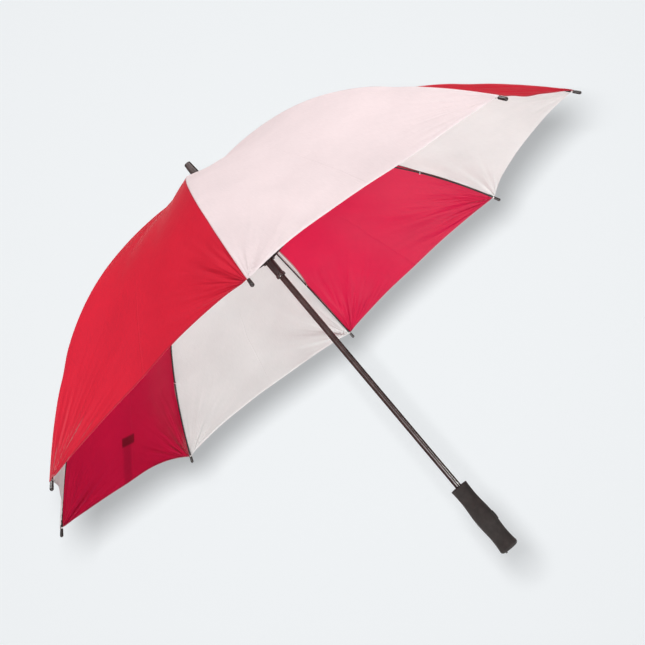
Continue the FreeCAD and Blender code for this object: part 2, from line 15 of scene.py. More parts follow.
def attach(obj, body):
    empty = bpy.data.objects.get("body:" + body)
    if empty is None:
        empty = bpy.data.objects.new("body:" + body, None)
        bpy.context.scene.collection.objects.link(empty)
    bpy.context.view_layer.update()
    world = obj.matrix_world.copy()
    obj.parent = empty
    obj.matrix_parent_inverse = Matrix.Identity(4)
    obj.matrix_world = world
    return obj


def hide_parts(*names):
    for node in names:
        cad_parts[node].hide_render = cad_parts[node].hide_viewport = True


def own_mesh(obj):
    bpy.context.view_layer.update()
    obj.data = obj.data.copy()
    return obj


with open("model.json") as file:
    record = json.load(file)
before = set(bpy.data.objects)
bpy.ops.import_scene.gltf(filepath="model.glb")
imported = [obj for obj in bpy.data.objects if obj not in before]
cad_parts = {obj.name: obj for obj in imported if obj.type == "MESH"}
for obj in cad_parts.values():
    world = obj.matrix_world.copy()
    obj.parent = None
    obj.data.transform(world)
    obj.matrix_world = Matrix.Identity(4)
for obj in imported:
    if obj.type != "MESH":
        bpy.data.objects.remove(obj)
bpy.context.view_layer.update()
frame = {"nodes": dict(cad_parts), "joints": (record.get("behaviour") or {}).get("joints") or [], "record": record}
joints = {j["name"]: j for j in frame["joints"]}
FOLD = "umbrella_fold"
RIBS = 8
MM = 0.001
UP = np.array([0.0, 0.0, 1.0])

# ---------------------------------------------------------------- rib geometry, from the frame


def rib_angle(rib):
    """The azimuth of a rib in radians; rib 4 lies along +X."""
    return math.tau / RIBS * (rib - 4)


def in_plane(rib, point):
    """Distance from the shaft and height of a frame point on a rib's plane."""
    a = rib_angle(rib)
    return point[0] * math.cos(a) + point[1] * math.sin(a), point[2]


HUB = in_plane(1, joints[FOLD]["pos_m"])
JOINT = in_plane(1, joints["stretcher_1_swing"]["pos_m"])
INNER_BEND = 2 * math.atan2(HUB[1] - JOINT[1], JOINT[0] - HUB[0])
INNER_RADIUS = (JOINT[0] - HUB[0]) / math.sin(INNER_BEND)
OUTER_BEND = math.radians(21.49)
OUTER_RADIUS = 1.0017
INNER_LENGTH = INNER_RADIUS * INNER_BEND
RIB_LENGTH = INNER_LENGTH + OUTER_RADIUS * OUTER_BEND
CAP_LENGTH = 16.5 * MM


def rib_plane_point(length, lift):
    """(radius, height) at arc lengths along a rib, lifted off its centre line."""
    length = np.asarray(length, float)
    inner = np.minimum(length, INNER_LENGTH) / INNER_RADIUS
    outer = INNER_BEND + np.maximum(length - INNER_LENGTH, 0) / OUTER_RADIUS
    centre_1 = (HUB[0], HUB[1] - INNER_RADIUS)
    centre_2 = (
        JOINT[0] - OUTER_RADIUS * math.sin(INNER_BEND),
        JOINT[1] - OUTER_RADIUS * math.cos(INNER_BEND),
    )
    on_inner = length < INNER_LENGTH
    bend = np.where(on_inner, inner, outer)
    reach = np.where(on_inner, INNER_RADIUS, OUTER_RADIUS) + lift
    radius = np.where(on_inner, centre_1[0], centre_2[0]) + reach * np.sin(bend)
    height = np.where(on_inner, centre_1[1], centre_2[1]) + reach * np.cos(bend)
    return radius, height


def rib_frame(rib):
    """Unit vectors outwards and across (anticlockwise from above) for a rib."""
    a = rib_angle(rib)
    return np.array([math.cos(a), math.sin(a), 0.0]), np.array([-math.sin(a), math.cos(a), 0.0])


def rib_space(rib, length, lift, across=0.0):
    """A point in space over a rib; arrays of lengths give arrays of points."""
    radius, height = rib_plane_point(length, lift)
    out, side = rib_frame(rib)
    return (
        np.multiply.outer(radius, out)
        + np.multiply.outer(np.broadcast_to(across, np.shape(radius)), side)
        + np.multiply.outer(height, UP)
    )


def rib_direction(rib, length):
    """Unit vectors along a rib and out through the cloth, at one arc length."""
    ahead = rib_space(rib, length + MM, 0.0)
    behind = rib_space(rib, length - MM, 0.0)
    along = (ahead - behind) / np.linalg.norm(ahead - behind)
    side = rib_frame(rib)[1]
    return along, np.cross(along, side) * -1


def gore_width(length):
    """The straight distance between two neighbouring ribs at an arc length."""
    return 2 * rib_plane_point(length, 0)[0] * math.sin(math.pi / RIBS)


# ---------------------------------------------------------------- cloth shape

CLOTH_THICKNESS = 0.45 * MM
CLOTH_START = 7.6 * MM - HUB[0]

# The rim: how hollow each gore is cut and how far the hollow leans, in millimetres.
RIM_LENGTH = RIB_LENGTH - CAP_LENGTH + 1.6 * MM
SCALLOPS = (28, 24, 24, 25, 18, 24, 24, 24)
SKEWS = (-3.5, 6, 0, 0, 0, -3, 5, 0)
RIM_POWER = 2.4

# The seams: height over the ribs and sideways drift, against arc length, in millimetres.
SEAM_LIFTS = (
    (-2, 2.6), (14, 3.8), (45, 5.0), (100, 4.2), (170, 3.4), (240, 4.4), (320, 7.2), (400, 9.2),
    (470, 8.8), (530, 6.6), (590, 4.2), (650, 3.2), (700, 3.0), (728, 3.3), (740, 3.6),
)
SEAM_DRIFTS = {6: 7.5, 7: 6.5}
DRIFT_SHAPE = (
    (-2, 0.0), (80, 0.0), (250, 0.9), (400, 1.0), (500, 1.0), (530, 0.6), (545, 0.15), (600, 0.2),
    (740, 0.0),
)
TIE_LENGTH = 0.72 * RIB_LENGTH
TIE_PINCH = 1.8 * MM
TIE_REACH = 28 * MM
TIE_SPREAD = 22 * MM

# The cloth between the seams.
SAG = 9.0 * MM
FOLD_AMPLITUDE = 2.6 * MM
FOLD_REACH = 110 * MM
FOLD_RISE = 18 * MM
FOLD_OVERSHOOT = 4 * MM
FOLD_FAN = 1.35
RIPPLE = 1.6 * MM


def smooth_curve(knots, value):
    """A smooth curve through (position, height) knots in millimetres; takes and gives metres."""
    at = np.array([k[0] for k in knots], float)
    height = np.array([k[1] for k in knots], float)
    slope = np.gradient(height, at)
    value = np.clip(np.asarray(value, float) / MM, at[0], at[-1])
    i = np.clip(np.searchsorted(at, value) - 1, 0, len(at) - 2)
    gap = at[i + 1] - at[i]
    t = (value - at[i]) / gap
    start = height[i] * (2 * t**3 - 3 * t**2 + 1) + slope[i] * gap * (t**3 - 2 * t**2 + t)
    stop = height[i + 1] * (3 * t**2 - 2 * t**3) + slope[i + 1] * gap * (t**3 - t**2)
    return (start + stop) * MM


def seam_lift(length, aside=0.0):
    """How far the cloth stands off the ribs: free over the stretcher joint, pinched at the tie."""
    length = np.asarray(length, float)
    along = np.exp(-(((length - TIE_LENGTH) / TIE_REACH) ** 2))
    sideways = np.exp(-np.asarray(aside) / TIE_SPREAD)
    return smooth_curve(SEAM_LIFTS, length) - TIE_PINCH * along * sideways


def seam_drift(rib, length):
    """How far a slack seam hangs off its rib sideways, clockwise from above."""
    share = smooth_curve(DRIFT_SHAPE, length)
    return -share * SEAM_DRIFTS.get((rib - 1) % RIBS + 1, 0.0)


def rim_length(gore, across):
    """The arc length at which the hollow rim cuts a gore; across runs 0 to 1 between its ribs."""
    hollow = SCALLOPS[gore - 1] * (1 - np.abs(2 * across - 1) ** RIM_POWER)
    return RIM_LENGTH - MM * (hollow + SKEWS[gore - 1] * np.sin(math.tau * across))


def corner_folds(gore, length, across):
    """Folds that fan out into the cloth from the two tip corners of a gore."""
    total = np.zeros(np.shape(length))
    for corner, share in ((0, across), (1, 1 - across)):
        sideways = share * gore_width(length)
        back = np.maximum(RIM_LENGTH + FOLD_OVERSHOOT - length, 0)
        distance = np.hypot(sideways, back)
        angle = np.arctan2(sideways, back)
        phase = 1.7 * gore + 2.9 * corner
        rays = np.sin(7.0 * angle + phase) + 0.6 * np.sin(13.0 * angle - 2.0 * phase)
        window = np.clip(np.sin(np.clip(angle, 0, FOLD_FAN) / FOLD_FAN * math.pi), 0, 1)
        rise = 1 - np.exp(-distance / FOLD_RISE)
        total += rays * window * rise * np.exp(-distance / FOLD_REACH)
    return FOLD_AMPLITUDE * total


def broad_ripples(gore, length, across):
    """Slow undulation of the cloth, still at the seams."""
    a, b = 2.1 * gore, 0.9 * gore + 1.0
    wave = np.sin(9.0 * length + 5.0 * across + a) * np.sin(4.0 * across * math.pi + b)
    wave += 0.5 * np.sin(23.0 * length - 7.0 * across + b)
    return RIPPLE * wave * np.sin(math.pi * across)


def cloth_points(gore, length, across):
    """Cloth points of the gore between rib `gore` and the next one, before any thickness."""
    lift = seam_lift(length, np.minimum(across, 1 - across) * gore_width(length))
    left = rib_space(gore, length, lift, seam_drift(gore, length))
    right = rib_space(gore + 1, length, lift, seam_drift(gore + 1, length))
    chord = left + (right - left) * across[..., None]
    out = rib_frame(gore + 0.5)[0]
    bend = np.where(
        length < INNER_LENGTH,
        length / INNER_RADIUS,
        INNER_BEND + (length - INNER_LENGTH) / OUTER_RADIUS,
    )
    normal = np.sin(bend)[..., None] * out + np.cos(bend)[..., None] * UP
    fullness = np.clip(length / RIB_LENGTH, 0, 1)
    height = -SAG * np.sin(math.pi * across) * fullness * (1.2 - fullness) * 4
    height = height + corner_folds(gore, length, across) + broad_ripples(gore, length, across)
    return chord + normal * height[..., None]


def cloth_normals(gore, length, across):
    """Outward normals of the cloth, by finite differences."""
    step = 0.5 * MM
    ahead = cloth_points(gore, length + step, across) - cloth_points(gore, length - step, across)
    turn = 0.002
    sideways = cloth_points(gore, length, across + turn) - cloth_points(gore, length, across - turn)
    normal = np.cross(ahead, sideways)
    return normal / np.linalg.norm(normal, axis=-1, keepdims=True)


# ---------------------------------------------------------------- mesh helpers


def add_object(name, data):
    """An object in the scene that holds the given mesh, light or camera."""
    obj = bpy.data.objects.new(name, data)
    bpy.context.scene.collection.objects.link(obj)
    return obj


def new_object(name, verts, faces, material, smooth=True):
    """A mesh object with one material."""
    mesh = bpy.data.meshes.new(name)
    mesh.from_pydata([tuple(v) for v in verts], [], faces)
    mesh.materials.append(material)
    mesh.polygons.foreach_set("use_smooth", [smooth] * len(mesh.polygons))
    mesh.update()
    return add_object(name, mesh)


def sheet(name, points, normals, coords, thickness, material, marks=None):
    """A closed thin shell from a grid of points: outer face, inner face and an edge all round."""
    rows, columns = points.shape[:2]
    count = rows * columns
    outer = points.reshape(-1, 3)
    inner = (points - normals * thickness).reshape(-1, 3)
    flat_normals = normals.reshape(-1, 3)
    verts = np.concatenate([outer, inner])
    faces, corner_normals = [], []

    def add(face, face_normals):
        """Take in a face with the shading normal of each of its corners."""
        faces.append(face)
        corner_normals.extend(face_normals)

    for i in range(rows - 1):
        for j in range(columns - 1):
            a, b = i * columns + j, i * columns + j + 1
            c, d = b + columns, a + columns
            quad = (a, d, c, b)
            add(quad, [flat_normals[q] for q in quad])
            under = tuple(q + count for q in (a, b, c, d))
            add(under, [-flat_normals[q - count] for q in under])
    ring = list(range(columns))
    ring += [i * columns + columns - 1 for i in range(1, rows)]
    ring += [(rows - 1) * columns + j for j in range(columns - 2, -1, -1)]
    ring += [i * columns for i in range(rows - 2, 0, -1)]
    for a, b in zip(ring, ring[1:] + ring[:1]):
        quad = (a, b, b + count, a + count)
        edge = verts[b] - verts[a]
        side = np.cross(edge, flat_normals[a])
        side = -side / (np.linalg.norm(side) + 1e-12)
        add(quad, [side] * 4)
    obj = new_object(name, verts, faces, material)
    uv = obj.data.uv_layers.new(name="cloth")
    flat = coords.reshape(-1, 2)
    data = np.array([flat[loop.vertex_index % count] for loop in obj.data.loops], np.float32)
    uv.data.foreach_set("uv", data.ravel())
    obj.data.normals_split_custom_set([tuple(n) for n in corner_normals])
    inside = obj.data.attributes.new("inside", "FLOAT", "POINT")
    inside.data.foreach_set("value", np.repeat([0.0, 1.0], count).astype(np.float32))
    for key, values in (marks or {}).items():
        mark = obj.data.attributes.new(key, "FLOAT", "POINT")
        mark.data.foreach_set("value", np.tile(np.asarray(values, np.float32).ravel(), 2))
    return obj


def ring_of_points(centre, first, second, radius, sides):
    """Points on a circle round a centre, in the plane of two unit vectors."""
    turns = [math.tau * s / sides for s in range(sides)]
    return [centre + (first * math.cos(a) + second * math.sin(a)) * radius for a in turns]


def round_body(name, rings, material):
    """A closed round body through a row of rings with the same number of points."""
    sides = len(rings[0])
    faces = []
    for i in range(len(rings) - 1):
        for s in range(sides):
            a, b = i * sides + s, i * sides + (s + 1) % sides
            faces.append((a, b, b + sides, a + sides))
    faces.append(tuple(range(sides - 1, -1, -1)))
    faces.append(tuple((len(rings) - 1) * sides + s for s in range(sides)))
    verts = [point for ring in rings for point in ring]
    return new_object(name, verts, faces, material)


def tube(name, path, radius, material, sides=10):
    """A round cord along a path of points."""
    path = [Vector(p) for p in path]
    rings = []
    normal = None
    for i, p in enumerate(path):
        before = path[i - 1] if i else p
        after = path[i + 1] if i < len(path) - 1 else p
        heading = (after - before).normalized()
        if normal is None:
            normal = heading.orthogonal().normalized()
        normal = (normal - heading * normal.dot(heading)).normalized()
        rings.append(ring_of_points(p, normal, heading.cross(normal), radius, sides))
    return round_body(name, rings, material)


# ---------------------------------------------------------------- materials


class Nodes:
    """A small builder for node materials."""

    def __init__(self, name):
        """Start an empty material with an output."""
        self.material = bpy.data.materials.new(name)
        self.material.use_nodes = True
        self.tree = self.material.node_tree
        self.tree.nodes.clear()
        self.output = self.tree.nodes.new("ShaderNodeOutputMaterial")

    def add(self, kind, values=None, **settings):
        """A node; each value is a number or another node's output."""
        node = self.tree.nodes.new(kind)
        for key, value in settings.items():
            setattr(node, key, value)
        for socket, value in (values or {}).items():
            if isinstance(value, bpy.types.NodeSocket):
                self.tree.links.new(value, node.inputs[socket])
            else:
                node.inputs[socket].default_value = value
        return node

    def math(self, operation, a, b=0.0, clamp=False):
        """A sum, product or function of one or two values."""
        node = self.add("ShaderNodeMath", {0: a, 1: b}, operation=operation, use_clamp=clamp)
        return node.outputs[0]

    def product(self, first, *others):
        """The product of several values."""
        for other in others:
            first = self.math("MULTIPLY", first, other)
        return first

    def gap(self, a, b):
        """The distance between two values."""
        return self.math("ABSOLUTE", self.math("SUBTRACT", a, b))

    def mark(self, name):
        """A value stored on the mesh."""
        return self.add("ShaderNodeAttribute", attribute_name=name).outputs["Fac"]

    def mix(self, factor, a, b):
        """Colour a where factor is nought and b where it is one."""
        node = self.add("ShaderNodeMix", data_type="RGBA")
        for index, value in ((0, factor), (6, a), (7, b)):
            if isinstance(value, bpy.types.NodeSocket):
                self.tree.links.new(value, node.inputs[index])
            else:
                node.inputs[index].default_value = value
        return node.outputs[2]

    def noise(self, vector, scale, detail=2.0, roughness=0.5):
        """Smooth noise from 0 to 1."""
        values = {"Vector": vector, "Scale": scale, "Detail": detail, "Roughness": roughness}
        return self.add("ShaderNodeTexNoise", values).outputs[0]

    def ramp(self, value, low, high, start=0.0, stop=1.0):
        """A value carried from low and high over to start and stop, and held beyond them."""
        values = {"Value": value, "From Min": low, "From Max": high}
        values.update({"To Min": start, "To Max": stop})
        return self.add("ShaderNodeMapRange", values).outputs[0]

    def bump(self, height, strength, distance, normal=None):
        """A normal tilted by a height, over another bump if one is given."""
        values = {"Height": height, "Strength": strength, "Distance": distance}
        if normal is not None:
            values["Normal"] = normal
        return self.add("ShaderNodeBump", values).outputs[0]

    def surface(self, shader):
        """Finish with this shader and give the material."""
        self.tree.links.new(shader, self.output.inputs["Surface"])
        return self.material


def rgb(r, g, b):
    """An opaque linear colour."""
    return (r, g, b, 1.0)


# Thread, stitch and fold sizes in metres; distances from a seam or the rim in millimetres.
THREAD_PITCH = 0.55e-3
STITCH_PITCH = 2.4e-3
STITCH_ROW = 2.2
STITCH_WIDTH = 0.5
# Spans of doubled cloth at seams and rim, in millimetres; doubled cloth gets painted shade as well as less
# translucency.
SEAM_DOUBLE = (2.6, 3.4)
HEM_DOUBLE = (4.2, 4.8)
# A painted highlight on the inner face near the rim's edge: its span from the rim in millimetres, and its tint.
RIM_HIGHLIGHT_BAND = (0.6, 1.4)
RIM_HIGHLIGHT_TINT = rgb(0.9, 0.80, 0.80)
PRESSED_AT = -4 * MM
PRESSED_WIDTH = 1.8 * MM
PRESSED_FROM = (0.40, 0.56)

CREASE_COUNT = 9.0
CREASE_REACH = 62 * MM
CREASE_OVERSHOOT = 6 * MM
STRAP_GORE = 7
STRAP_TAB = ((-12 * MM, 610 * MM), (33 * MM, 630 * MM))
STRAP_BAND = ((3 * MM, 620 * MM), (31 * MM, 740 * MM))


def corner_creases(n, across, along, seed, depth):
    """Height of the fine creases that run into the cloth from each corner of a gore."""
    half_rim = rib_plane_point(RIM_LENGTH, 0.0)[0] * math.sin(math.pi / RIBS)
    aside = n.math("SUBTRACT", float(half_rim), n.math("ABSOLUTE", across))
    back = n.math("SUBTRACT", RIM_LENGTH + CREASE_OVERSHOOT, along)
    squares = n.math("ADD", n.product(aside, aside), n.product(back, back))
    distance = n.math("SQRT", squares)
    angle = n.math("ARCTAN2", aside, back)
    turn, reach = n.product(angle, CREASE_COUNT), n.product(distance, 7.0)
    place = n.add("ShaderNodeCombineXYZ", {0: turn, 1: reach, 2: seed})
    streaks = n.noise(place.outputs[0], 1.0, 1.5, 0.45)
    fade = n.math("EXPONENT", n.product(distance, -1.0 / CREASE_REACH))
    return n.product(n.math("SUBTRACT", streaks, 0.5), distance, fade, depth)


def box_mask(n, across, along, low, high, soft):
    """One inside a rectangle of the flat cloth and nought outside it."""
    sides = []
    for value, start, stop in ((across, low[0], high[0]), (along, low[1], high[1])):
        sides.append(n.ramp(value, start - soft, start + soft))
        sides.append(n.ramp(value, stop - soft, stop + soft, 1.0, 0.0))
    return n.product(*sides)


def strap_shadow(n, tinted, within, across, along):
    """Painted shadow: the inside of the gore darkened where the closing strap lies on its outside."""
    tab = box_mask(n, across, along, *STRAP_TAB, 2.5 * MM)
    band = box_mask(n, across, along, *STRAP_BAND, 5 * MM)
    tinted = n.mix(n.product(band, within, 0.22), tinted, rgb(0.30, 0.0, 0.01))
    return n.mix(n.product(tab, within, 0.75), tinted, rgb(0.16, 0.006, 0.012))


def cloth_relief(n, place, across, along, to_seam, creases):
    """The cloth's normal: crumple, creases, a pressed fold, the weave and the stitches."""
    normal = n.bump(n.noise(place, 26.0, 4.0, 0.55), 0.35, 2.6 * MM)
    fine = corner_creases(n, across, along, n.mark("fold_seed"), creases)
    normal = n.bump(fine, 1.0, 1.0, normal)
    pressed = n.ramp(n.gap(across, PRESSED_AT), 0.0, PRESSED_WIDTH, 1.0, 0.0)
    pressed = n.product(pressed, n.ramp(along, *PRESSED_FROM))
    normal = n.bump(pressed, 1.0, 0.35 * MM, normal)
    warp = n.math("SINE", n.product(across, math.tau / THREAD_PITCH))
    weft = n.math("SINE", n.product(along, math.tau / THREAD_PITCH))
    stitch = n.math("SINE", n.product(along, math.tau / STITCH_PITCH))
    row = n.ramp(n.gap(to_seam, STITCH_ROW), 0.0, STITCH_WIDTH, 1.0, 0.0)
    threads = n.math("ADD", n.product(warp, weft, 0.4), n.product(row, stitch))
    return n.bump(threads, 0.15, 0.15 * MM, normal)


def cloth_material(name, outside, inside, sheen, through, doubled_shade, creases, strap_shadowed=False):
    """Woven polyester: plain weave, soft sheen, a little clear; painted shade where doubled at seams and hems, a
    painted highlight on the rim's inner edge, and optionally the strap's painted shadow.
    """
    n = Nodes(name)
    uv = n.add("ShaderNodeUVMap", uv_map="cloth").outputs[0]
    across, along = n.add("ShaderNodeSeparateXYZ", {0: uv}).outputs[:2]
    place = n.add("ShaderNodeTexCoord").outputs["Object"]
    cloudy = n.noise(place, 7.0, 3.0, 0.55)
    slub = n.add("ShaderNodeMapping", {"Vector": uv, "Scale": (900.0, 60.0, 1.0)}).outputs[0]
    streak = n.noise(slub, 1.0, 2.0)
    tone = n.math("ADD", n.product(cloudy, 0.6), n.product(streak, 0.4))
    tone = n.ramp(tone, 0.3, 0.7, 0.93, 1.05)
    within, to_seam, to_rim = n.mark("inside"), n.mark("to_seam"), n.mark("to_rim")
    base = n.mix(within, outside, inside)
    seam_double = n.ramp(to_seam, *SEAM_DOUBLE, 1.0, 0.0)
    hem_double = n.ramp(to_rim, *HEM_DOUBLE, 1.0, 0.0)
    double = n.math("MAXIMUM", seam_double, hem_double, clamp=True)
    edge = n.ramp(to_rim, *RIM_HIGHLIGHT_BAND, 1.0, 0.0)
    # Painted shade: doubled cloth at seams and hems is darkened by a set factor, besides its lesser translucency
    # below.
    shade = n.product(tone, n.ramp(double, 0.0, 1.0, 1.0, doubled_shade))
    tinted = n.add("ShaderNodeVectorMath", {0: base, 1: shade}, operation="MULTIPLY").outputs[0]
    # Painted highlight: the inner face is lightened close to the rim's edge.
    lighter = n.mix(0.5, tinted, RIM_HIGHLIGHT_TINT)
    tinted = n.mix(n.product(edge, n.ramp(within, 0.9, 1.0)), tinted, lighter)
    # The closing strap's painted shadow on the inside of this gore.
    if strap_shadowed:
        tinted = strap_shadow(n, tinted, within, across, along)
    normal = cloth_relief(n, place, across, along, to_seam, creases)
    body = n.add(
        "ShaderNodeBsdfPrincipled",
        {
            "Base Color": tinted,
            "Roughness": 0.55,
            "Specular IOR Level": 0.3,
            "Sheen Weight": sheen,
            "Sheen Roughness": 0.2,
            "Sheen Tint": rgb(1.0, 0.75, 0.72),
            "Normal": normal,
        },
    )
    glow = n.add("ShaderNodeBsdfTranslucent", {"Color": tinted, "Normal": normal})
    share = n.product(n.ramp(double, 0.0, 1.0, 1.0, 0.4), through)
    blend = n.add("ShaderNodeMixShader", {0: share, 1: body.outputs[0], 2: glow.outputs[0]})
    return n.surface(blend.outputs[0])


def gloss_material(name, colour, roughness, coat, speck, grain=0.0, shine=0.5):
    """Painted metal or moulded plastic: slightly wavy, with fine specks and faint rubbing."""
    n = Nodes(name)
    place = n.add("ShaderNodeTexCoord").outputs["Object"]
    worn = n.noise(place, 60.0, 4.0, 0.6)
    fine = n.noise(place, 900.0, 2.0, 0.6)
    tint = n.mix(n.ramp(worn, 0.45, 0.75), colour, rgb(*(c * 1.5 for c in colour[:3])))
    rough = n.ramp(worn, 0.3, 0.7, roughness * 0.85, roughness * 1.25)
    normal = n.bump(fine, speck, 0.05 * MM)
    if grain:
        normal = n.bump(worn, grain, 0.2 * MM, normal)
    body = n.add(
        "ShaderNodeBsdfPrincipled",
        {
            "Base Color": tint,
            "Roughness": rough,
            "Coat Weight": coat,
            "Coat Roughness": 0.12,
            "Specular IOR Level": shine,
            "Normal": normal,
        },
    )
    return n.surface(body.outputs[0])


def foam_material(name, colour):
    """Closed-cell foam: matt, finely pitted, a little lighter where the hand rubs it."""
    n = Nodes(name)
    place = n.add("ShaderNodeTexCoord").outputs["Object"]
    cells = n.add("ShaderNodeTexVoronoi", {"Vector": place, "Scale": 900.0}).outputs[0]
    mottle = n.noise(place, 55.0, 5.0, 0.65)
    tint = n.mix(n.ramp(mottle, 0.35, 0.7), colour, rgb(*(c * 1.7 for c in colour[:3])))
    normal = n.bump(cells, 0.35, 0.25 * MM)
    normal = n.bump(mottle, 0.15, 0.5 * MM, normal)
    body = n.add(
        "ShaderNodeBsdfPrincipled",
        {
            "Base Color": tint,
            "Roughness": 0.82,
            "Specular IOR Level": 0.3,
            "Sheen Weight": 0.15,
            "Normal": normal,
        },
    )
    return n.surface(body.outputs[0])


def steel_material(name):
    """Drawn steel wire."""
    n = Nodes(name)
    place = n.add("ShaderNodeTexCoord").outputs["Object"]
    drawn = n.noise(place, 400.0, 3.0)
    body = n.add(
        "ShaderNodeBsdfPrincipled",
        {
            "Base Color": rgb(0.56, 0.56, 0.57),
            "Metallic": 1.0,
            "Roughness": n.ramp(drawn, 0.3, 0.7, 0.25, 0.42),
            "Normal": n.bump(drawn, 0.1, 0.05 * MM),
        },
    )
    return n.surface(body.outputs[0])


# In each cloth, the factor after the translucent share darkens doubled cloth: painted shade.
RED_FACE = {
    "outside": rgb(0.79, 0.020, 0.055),
    "inside": rgb(0.80, 0.009, 0.083),
    "sheen": 0.5,
    "through": 0.40,
    "doubled_shade": 0.72,
    "creases": 0.38,
}
# The white cloth's outside is tinted pink: painted red light from the neighbouring red gores.
WHITE_FACE = {
    "outside": rgb(0.92, 0.80, 0.81),
    "inside": rgb(0.93, 0.94, 0.925),
    "sheen": 0.10,
    "through": 0.40,
    "doubled_shade": 0.97,
    "creases": 0.17,
}
TAPE_FACE = {
    "outside": rgb(0.50, 0.20, 0.20),
    "inside": rgb(0.50, 0.20, 0.20),
    "sheen": 0.0,
    "through": 0.1,
    "doubled_shade": 1.0,
    "creases": 0.0,
}
RED = cloth_material("canopy_red", **RED_FACE)
# A copy of the red cloth with the closing strap's painted shadow on its inside.
RED_STRAP_SHADOWED = cloth_material("canopy_red_strap_shadowed", **RED_FACE, strap_shadowed=True)
WHITE = cloth_material("canopy_white", **WHITE_FACE)
TAPE = cloth_material("seam_allowance", **TAPE_FACE)
CORD = gloss_material("cord_white", rgb(0.80, 0.74, 0.73), 0.7, 0.0, 0.4, grain=0.6)
SHAFT = gloss_material("shaft_black", rgb(0.022, 0.012, 0.011), 0.22, 0.55, 0.02, shine=0.2)
RIB = gloss_material("rib_black", rgb(0.010, 0.006, 0.006), 0.5, 0.0, 0.02)
PLASTIC = gloss_material("black_plastic", rgb(0.026, 0.017, 0.016), 0.36, 0.3, 0.02)
MATT = gloss_material("matt_plastic", rgb(0.030, 0.027, 0.026), 0.55, 0.0, 0.2, grain=0.1)
FOAM = foam_material("grip_foam", rgb(0.034, 0.028, 0.026))
STEEL = steel_material("steel_wire")
SLOT_LOOKS = {
    "canopy_red": RED,
    "canopy_white": WHITE,
    "shaft_black": SHAFT,
    "rib_black": RIB,
    "black_plastic": PLASTIC,
    "matt_plastic": MATT,
    "steel_wire": STEEL,
    "grip_foam": FOAM,
    "grip_button": MATT,
}

for row in frame["record"]["subparts"]:
    node = frame["nodes"][row["node"]]
    node.data.materials.clear()
    node.data.materials.append(SLOT_LOOKS[row["material_slot"]])

# ---------------------------------------------------------------- canopy

CROWN_LENGTH = 185 * MM
COLUMN_CROWDING = 1.35
ROW_CROWDING = 1.2
SPANS = {"crown": (CLOTH_START, CROWN_LENGTH), "upper": (CROWN_LENGTH, INNER_LENGTH)}
ROWS = {"crown": 18, "upper": 18, "lower": 46}
HALF_COLUMNS = 26
STRAP_ACROSS = 0.53
STRAP_HEM = 3 * MM
STRAP_LIFT = 1.3 * MM
STRAP_THICKNESS = 1 * MM
STRAP_GRID = (40, 12)
# A distance from seam or rim, in millimetres, that no painted shade or highlight of seam or rim reaches.
FAR = 100.0


def rides_on(rib, part):
    """The body that carries the cloth beside a rib."""
    number = (rib - 1) % RIBS + 1
    return f"rib_{number}_tip" if part == "lower" else f"rib_{number}"


def gather(obj):
    """Give the cloth its own copy of its mesh."""
    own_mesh(obj)


def half_gore(gore, side, part, material):
    """One of a gore's six parts: beside either rib, at the crown or above or below the joint."""
    name = f"canopy_{gore}_{gore % RIBS + 1}_{'left' if side > 0 else 'right'}_{part}"
    closeness = np.linspace(0, 1, HALF_COLUMNS) ** COLUMN_CROWDING * 0.5
    across = closeness if side > 0 else 1 - closeness[::-1]
    way = np.linspace(0, 1, ROWS[part])[:, None]
    if part in SPANS:
        start, stop = SPANS[part]
        length = start + (stop - start) * way + 0 * across[None, :]
    else:
        way = 1 - (1 - way) ** ROW_CROWDING
        length = INNER_LENGTH + (rim_length(gore, across)[None, :] - INNER_LENGTH) * way
    grid_across = np.broadcast_to(across, length.shape)
    points = cloth_points(gore, length, grid_across)
    normals = cloth_normals(gore, length, grid_across)
    width = gore_width(length)
    coords = np.stack([(grid_across - 0.5) * width, length], axis=-1)
    marks = {
        "to_seam": np.minimum(grid_across, 1 - grid_across) * width / MM,
        "to_rim": (rim_length(gore, grid_across) - length) / MM,
        "fold_seed": np.full(length.shape, 3.7 * gore + 1.9 * side),
    }
    obj = sheet(name, points, normals, coords, CLOTH_THICKNESS, material, marks)
    rib = gore if side > 0 else gore + 1
    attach(obj, rides_on(rib, part))
    gather(obj)
    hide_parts(f"canopy_panel_{gore}_{gore % RIBS + 1}")


for gore in range(1, RIBS + 1):
    cloth = RED if gore % 2 else WHITE
    # The strap's gore takes the red cloth with the strap's painted shadow.
    if gore == STRAP_GORE:
        cloth = RED_STRAP_SHADOWED
    for side in (1, -1):
        for part in ROWS:
            half_gore(gore, side, part, cloth)


def closing_strap():
    """The strap for the folded canopy: a doubled band sewn at the rim, outside one red gore."""
    low, high = STRAP_BAND[0][0], STRAP_BAND[1][0]
    stop = float(rim_length(STRAP_GORE, STRAP_ACROSS)) - STRAP_HEM
    rows = np.linspace(STRAP_TAB[0][1], stop, STRAP_GRID[0])
    columns = np.linspace(low, high, STRAP_GRID[1])
    length, side = np.meshgrid(rows, columns, indexing="ij")
    across = 0.5 + side / gore_width(length)
    normals = cloth_normals(STRAP_GORE, length, across)
    points = cloth_points(STRAP_GORE, length, across) + normals * STRAP_LIFT
    edge = np.minimum(side - low, high - side) / MM
    marks = {"to_seam": edge, "to_rim": np.full(length.shape, FAR)}
    coords = np.stack([side, length], axis=-1)
    strap = sheet("closing_strap", points, normals, coords, STRAP_THICKNESS, RED, marks)
    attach(strap, rides_on(STRAP_GORE + 1, "lower"))
    gather(strap)


closing_strap()

# ---------------------------------------------------------------- seams, ties and tips

